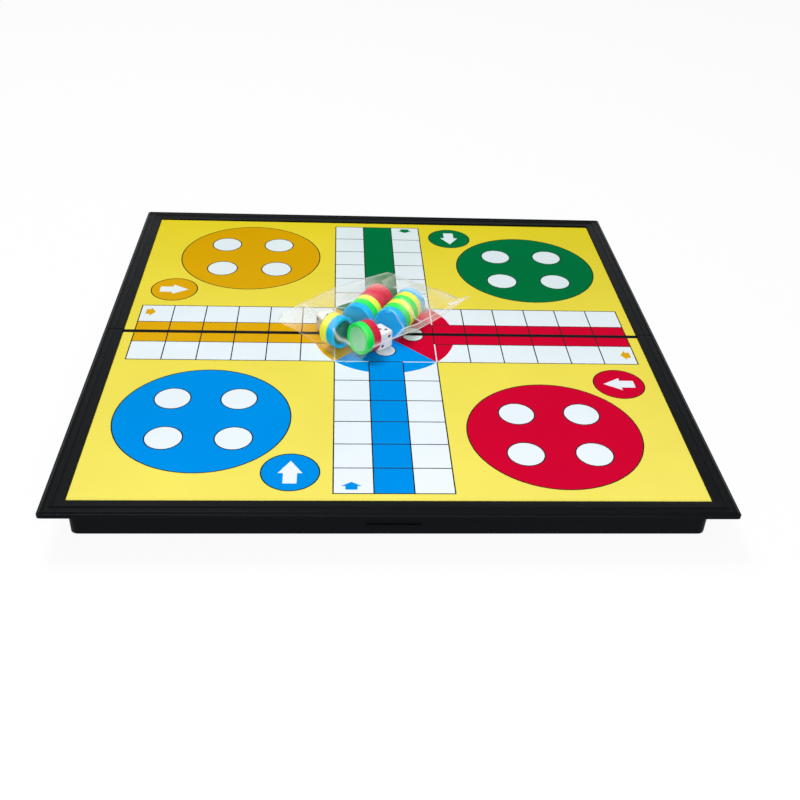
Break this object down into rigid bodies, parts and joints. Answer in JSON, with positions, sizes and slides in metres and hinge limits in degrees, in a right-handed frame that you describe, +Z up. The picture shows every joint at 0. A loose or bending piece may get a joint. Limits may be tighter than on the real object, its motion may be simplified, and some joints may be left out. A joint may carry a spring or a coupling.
{
  "type": "folding ludo board box",
  "caption": "Square ludo board in two hinged shallow trays with printed decks and raised black rails, folding into a flat box, with a film bag of counters and dice.",
  "frame": {"origin": "under the middle of the open board, on the surface that it stands on", "axes": "+X along the hinge to the right of a player at the front edge, +Y from the front edge to the rear edge, +Z up out of the printed faces"},
  "size_m": [0.32, 0.323, 0.0422],
  "materials": {
    "black_plastic": "moulded, half gloss",
    "tinned_steel": "bright rolled sheet",
    "printed_card": "printed and laminated",
    "steel_wire": "drawn wire",
    "red_plastic": "moulded gloss",
    "yellow_plastic": "moulded gloss",
    "green_plastic": "moulded gloss",
    "blue_plastic": "moulded gloss",
    "ferrite": "ground",
    "white_plastic": "polished, pips filled",
    "clear_film": "clear polythene film"
  },
  "bodies": {
    "front_half": {"front_tray": "black_plastic", "front_steel_sheet": "tinned_steel", "front_printed_sheet": "printed_card", "hinge_pin_left": "steel_wire", "hinge_pin_right": "steel_wire"},
    "rear_half": {"rear_tray": "black_plastic", "rear_steel_sheet": "tinned_steel", "rear_printed_sheet": "printed_card", "latch_pin": "steel_wire"},
    "latch": {"latch_flap": "black_plastic"},
    "pieces": {"piece_bag": "clear_film", "counters_red": "red_plastic", "counters_yellow": "yellow_plastic", "counters_green": "green_plastic", "counters_blue": "blue_plastic", "counter_magnets": "ferrite", "dice": "white_plastic"}
  },
  "joints": [
    {"name": "board_fold", "type": "hinge", "parent": "front_half", "child": "rear_half", "pos_m": [0, 0, 0.002], "axis": [-1, 0, 0], "range_deg": [0, 180]},
    {"name": "latch_turn", "type": "hinge", "parent": "rear_half", "child": "latch", "pos_m": [0, 0.1531, 0.005], "axis": [-1, 0, 0], "range_deg": [0, 180]},
    {"name": "pieces_lift", "type": "slide", "parent": "front_half", "child": "pieces", "axis": [0, 0, 1], "range_m": [0, 0.1]}
  ]
}
